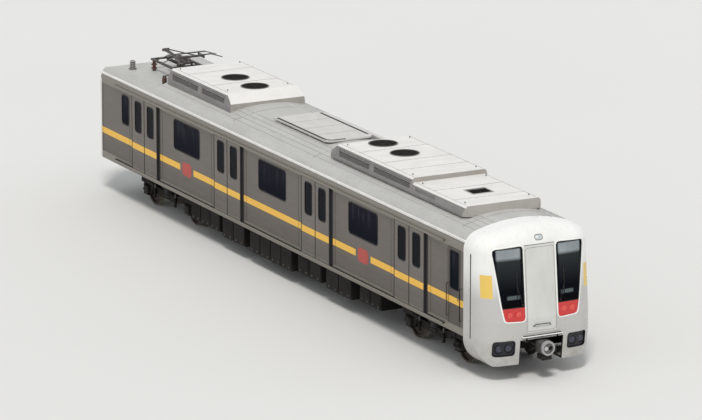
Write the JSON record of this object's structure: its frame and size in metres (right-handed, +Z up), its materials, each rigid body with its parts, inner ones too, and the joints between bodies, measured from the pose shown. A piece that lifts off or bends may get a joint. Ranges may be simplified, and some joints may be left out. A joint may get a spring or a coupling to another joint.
{
  "type": "metro train driving trailer car",
  "caption": "Railway metro car with one cab end, double sliding doors along both sides, roof cooling units, a folded pantograph at the rear, two bogies and couplers.",
  "frame": {"origin": "bottom centre of the bounding box: on the centre line, halfway between the coupler faces, at the wheel flange tips", "axes": "+X towards the cab, +Y to the left of the car, +Z up"},
  "size_m": [22.24, 3.212, 4.1245],
  "materials": {
    "stainless_dark": "brushed stainless steel",
    "stainless": "brushed stainless steel",
    "body_white": "white gel-coated moulding",
    "roof_grey": "grey roof paint",
    "unit_grey": "light grey paint",
    "unit_beige": "light grey-beige paint",
    "underframe_black": "dark grey paint, dirty",
    "glass_dark": "tinted glass",
    "lamp_red": "red lens",
    "lamp_clear": "clear lens over a dark housing",
    "rubber_black": "black rubber",
    "tyre_steel": "worn steel tread, rusty web",
    "seat_steel": "satin stainless steel",
    "desk_grey": "dark grey moulding",
    "seat_cloth": "dark woven cover",
    "walk_white": "white anti-slip paint",
    "panto_dark": "dark grey paint",
    "fan_dark": "black moulded fan",
    "panto_red": "dark red paint",
    "coupler_steel": "bare cast steel"
  },
  "bodies": {
    "door_right_1_rear_leaf": {"door_right_1_rear_leaf": "stainless"},
    "door_right_1_front_leaf": {"door_right_1_front_leaf": "stainless"},
    "door_right_2_rear_leaf": {"door_right_2_rear_leaf": "stainless"},
    "door_right_2_front_leaf": {"door_right_2_front_leaf": "stainless"},
    "door_right_3_rear_leaf": {"door_right_3_rear_leaf": "stainless"},
    "door_right_3_front_leaf": {"door_right_3_front_leaf": "stainless"},
    "door_right_4_rear_leaf": {"door_right_4_rear_leaf": "stainless"},
    "door_right_4_front_leaf": {"door_right_4_front_leaf": "stainless"},
    "door_left_1_rear_leaf": {"door_left_1_rear_leaf": "stainless"},
    "door_left_1_front_leaf": {"door_left_1_front_leaf": "stainless"},
    "door_left_2_rear_leaf": {"door_left_2_rear_leaf": "stainless"},
    "door_left_2_front_leaf": {"door_left_2_front_leaf": "stainless"},
    "door_left_3_rear_leaf": {"door_left_3_rear_leaf": "stainless"},
    "door_left_3_front_leaf": {"door_left_3_front_leaf": "stainless"},
    "door_left_4_rear_leaf": {"door_left_4_rear_leaf": "stainless"},
    "door_left_4_front_leaf": {"door_left_4_front_leaf": "stainless"},
    "cab_door_right": {"cab_door_right": "stainless"},
    "cab_door_left": {"cab_door_left": "stainless"},
    "escape_door": {"escape_door": "body_white"},
    "bogie_front": {"bogie_frame_front": "underframe_black", "air_springs_front": "rubber_black"},
    "wheelset_1": {"wheelset_1": "tyre_steel"},
    "wheelset_2": {"wheelset_2": "tyre_steel"},
    "bogie_rear": {"bogie_frame_rear": "underframe_black", "air_springs_rear": "rubber_black"},
    "wheelset_3": {"wheelset_3": "tyre_steel"},
    "wheelset_4": {"wheelset_4": "tyre_steel"},
    "front_coupler": {"front_coupler": "coupler_steel"},
    "rear_coupler": {"rear_coupler": "coupler_steel"},
    "condenser_fan_1": {"condenser_fan_1": "fan_dark"},
    "condenser_fan_2": {"condenser_fan_2": "fan_dark"},
    "condenser_fan_3": {"condenser_fan_3": "fan_dark"},
    "condenser_fan_4": {"condenser_fan_4": "fan_dark"},
    "pantograph_lower_arm": {"pantograph_lower_arm": "panto_dark"},
    "pantograph_upper_arm": {"pantograph_upper_arm": "panto_dark"},
    "pantograph_head": {"pantograph_head": "coupler_steel"},
    "car_body": {"air_tanks": "underframe_black", "cab_bulkhead": "unit_beige", "cab_mask": "body_white", "driver_desk": "desk_grey", "driver_seat": "seat_cloth", "gangway_bellows": "rubber_black", "grab_poles": "seat_steel", "headlamps": "lamp_clear", "pantograph_base": "panto_red", "rear_end_wall": "stainless", "roof_shell": "roof_grey", "roof_unit_front": "unit_beige", "roof_unit_rear": "unit_grey", "roof_walkway": "walk_white", "saloon_seats": "seat_steel", "side_wall_left": "stainless", "side_wall_right": "stainless", "side_window_glass": "glass_dark", "tail_lamps": "lamp_red", "underfloor_boxes": "underframe_black", "underframe": "stainless_dark", "windscreens": "glass_dark"}
  },
  "joints": [
    {"name": "right_door_1_rear_slide", "type": "slide", "parent": "car_body", "child": "door_right_1_rear_leaf", "axis": [1, 0, 0], "range_m": [-0.7, 0]},
    {"name": "right_door_1_front_slide", "type": "slide", "parent": "car_body", "child": "door_right_1_front_leaf", "axis": [1, 0, 0], "range_m": [0, 0.7]},
    {"name": "right_door_2_rear_slide", "type": "slide", "parent": "car_body", "child": "door_right_2_rear_leaf", "axis": [1, 0, 0], "range_m": [-0.7, 0]},
    {"name": "right_door_2_front_slide", "type": "slide", "parent": "car_body", "child": "door_right_2_front_leaf", "axis": [1, 0, 0], "range_m": [0, 0.7]},
    {"name": "right_door_3_rear_slide", "type": "slide", "parent": "car_body", "child": "door_right_3_rear_leaf", "axis": [1, 0, 0], "range_m": [-0.7, 0]},
    {"name": "right_door_3_front_slide", "type": "slide", "parent": "car_body", "child": "door_right_3_front_leaf", "axis": [1, 0, 0], "range_m": [0, 0.7]},
    {"name": "right_door_4_rear_slide", "type": "slide", "parent": "car_body", "child": "door_right_4_rear_leaf", "axis": [1, 0, 0], "range_m": [-0.7, 0]},
    {"name": "right_door_4_front_slide", "type": "slide", "parent": "car_body", "child": "door_right_4_front_leaf", "axis": [1, 0, 0], "range_m": [0, 0.7]},
    {"name": "left_door_1_rear_slide", "type": "slide", "parent": "car_body", "child": "door_left_1_rear_leaf", "axis": [1, 0, 0], "range_m": [-0.7, 0]},
    {"name": "left_door_1_front_slide", "type": "slide", "parent": "car_body", "child": "door_left_1_front_leaf", "axis": [1, 0, 0], "range_m": [0, 0.7]},
    {"name": "left_door_2_rear_slide", "type": "slide", "parent": "car_body", "child": "door_left_2_rear_leaf", "axis": [1, 0, 0], "range_m": [-0.7, 0]},
    {"name": "left_door_2_front_slide", "type": "slide", "parent": "car_body", "child": "door_left_2_front_leaf", "axis": [1, 0, 0], "range_m": [0, 0.7]},
    {"name": "left_door_3_rear_slide", "type": "slide", "parent": "car_body", "child": "door_left_3_rear_leaf", "axis": [1, 0, 0], "range_m": [-0.7, 0]},
    {"name": "left_door_3_front_slide", "type": "slide", "parent": "car_body", "child": "door_left_3_front_leaf", "axis": [1, 0, 0], "range_m": [0, 0.7]},
    {"name": "left_door_4_rear_slide", "type": "slide", "parent": "car_body", "child": "door_left_4_rear_leaf", "axis": [1, 0, 0], "range_m": [-0.7, 0]},
    {"name": "left_door_4_front_slide", "type": "slide", "parent": "car_body", "child": "door_left_4_front_leaf", "axis": [1, 0, 0], "range_m": [0, 0.7]},
    {"name": "cab_door_right_hinge", "type": "hinge", "parent": "car_body", "child": "cab_door_right", "pos_m": [8.966, -1.49, 2.028], "axis": [0, 0, 1], "range_deg": [0, 85]},
    {"name": "cab_door_left_hinge", "type": "hinge", "parent": "car_body", "child": "cab_door_left", "pos_m": [8.966, 1.49, 2.028], "axis": [0, 0, -1], "range_deg": [0, 85]},
    {"name": "escape_door_hinge", "type": "hinge", "parent": "car_body", "child": "escape_door", "pos_m": [10.797, 0, 1.178], "axis": [0, 1, 0], "range_deg": [0, 90]},
    {"name": "bogie_front_turn", "type": "hinge", "parent": "car_body", "child": "bogie_front", "pos_m": [7.5, 0, 0.548], "axis": [0, 0, 1], "range_deg": [-4, 4]},
    {"name": "wheelset_1_roll", "type": "hinge", "parent": "bogie_front", "child": "wheelset_1", "pos_m": [8.75, 0, 0.458], "axis": [0, 1, 0], "continuous": true},
    {"name": "wheelset_2_roll", "type": "hinge", "parent": "bogie_front", "child": "wheelset_2", "pos_m": [6.25, 0, 0.458], "axis": [0, 1, 0], "continuous": true},
    {"name": "bogie_rear_turn", "type": "hinge", "parent": "car_body", "child": "bogie_rear", "pos_m": [-7.5, 0, 0.548], "axis": [0, 0, 1], "range_deg": [-4, 4]},
    {"name": "wheelset_3_roll", "type": "hinge", "parent": "bogie_rear", "child": "wheelset_3", "pos_m": [-6.25, 0, 0.458], "axis": [0, 1, 0], "continuous": true},
    {"name": "wheelset_4_roll", "type": "hinge", "parent": "bogie_rear", "child": "wheelset_4", "pos_m": [-8.75, 0, 0.458], "axis": [0, 1, 0], "continuous": true},
    {"name": "front_coupler_swing", "type": "hinge", "parent": "car_body", "child": "front_coupler", "pos_m": [9.95, 0, 0.828], "axis": [0, 0, 1], "range_deg": [-12, 12]},
    {"name": "rear_coupler_swing", "type": "hinge", "parent": "car_body", "child": "rear_coupler", "pos_m": [-10.05, 0, 0.828], "axis": [0, 0, 1], "range_deg": [-12, 12]},
    {"name": "condenser_fan_1_spin", "type": "hinge", "parent": "car_body", "child": "condenser_fan_1", "pos_m": [-5.7, 0, 3.958], "axis": [0, 0, 1], "continuous": true},
    {"name": "condenser_fan_2_spin", "type": "hinge", "parent": "car_body", "child": "condenser_fan_2", "pos_m": [-4.55, 0, 3.958], "axis": [0, 0, 1], "continuous": true},
    {"name": "condenser_fan_3_spin", "type": "hinge", "parent": "car_body", "child": "condenser_fan_3", "pos_m": [2.65, 0, 3.958], "axis": [0, 0, 1], "continuous": true},
    {"name": "condenser_fan_4_spin", "type": "hinge", "parent": "car_body", "child": "condenser_fan_4", "pos_m": [3.8, 0, 3.958], "axis": [0, 0, 1], "continuous": true},
    {"name": "pantograph_raise", "type": "hinge", "parent": "car_body", "child": "pantograph_lower_arm", "pos_m": [-8.7, 0, 3.828], "axis": [0, 1, 0], "range_deg": [0, 45]},
    {"name": "pantograph_elbow", "type": "hinge", "parent": "pantograph_lower_arm", "child": "pantograph_upper_arm", "pos_m": [-9.94315, 0, 3.95866], "axis": [0, 1, 0], "range_deg": [-82, 0]},
    {"name": "pantograph_head_level", "type": "hinge", "parent": "pantograph_upper_arm", "child": "pantograph_head", "pos_m": [-8.49514, 0, 4.03455], "axis": [0, 1, 0], "range_deg": [0, 37]}
  ],
  "couplings": [
    {"joint": "right_door_1_rear_slide", "follows": "right_door_1_front_slide", "ratio": -1},
    {"joint": "right_door_2_rear_slide", "follows": "right_door_2_front_slide", "ratio": -1},
    {"joint": "right_door_3_rear_slide", "follows": "right_door_3_front_slide", "ratio": -1},
    {"joint": "right_door_4_rear_slide", "follows": "right_door_4_front_slide", "ratio": -1},
    {"joint": "left_door_1_rear_slide", "follows": "left_door_1_front_slide", "ratio": -1},
    {"joint": "left_door_2_rear_slide", "follows": "left_door_2_front_slide", "ratio": -1},
    {"joint": "left_door_3_rear_slide", "follows": "left_door_3_front_slide", "ratio": -1},
    {"joint": "left_door_4_rear_slide", "follows": "left_door_4_front_slide", "ratio": -1},
    {"joint": "pantograph_elbow", "follows": "pantograph_raise", "ratio": -1.8},
    {"joint": "pantograph_head_level", "follows": "pantograph_raise", "ratio": 0.8}
  ]
}
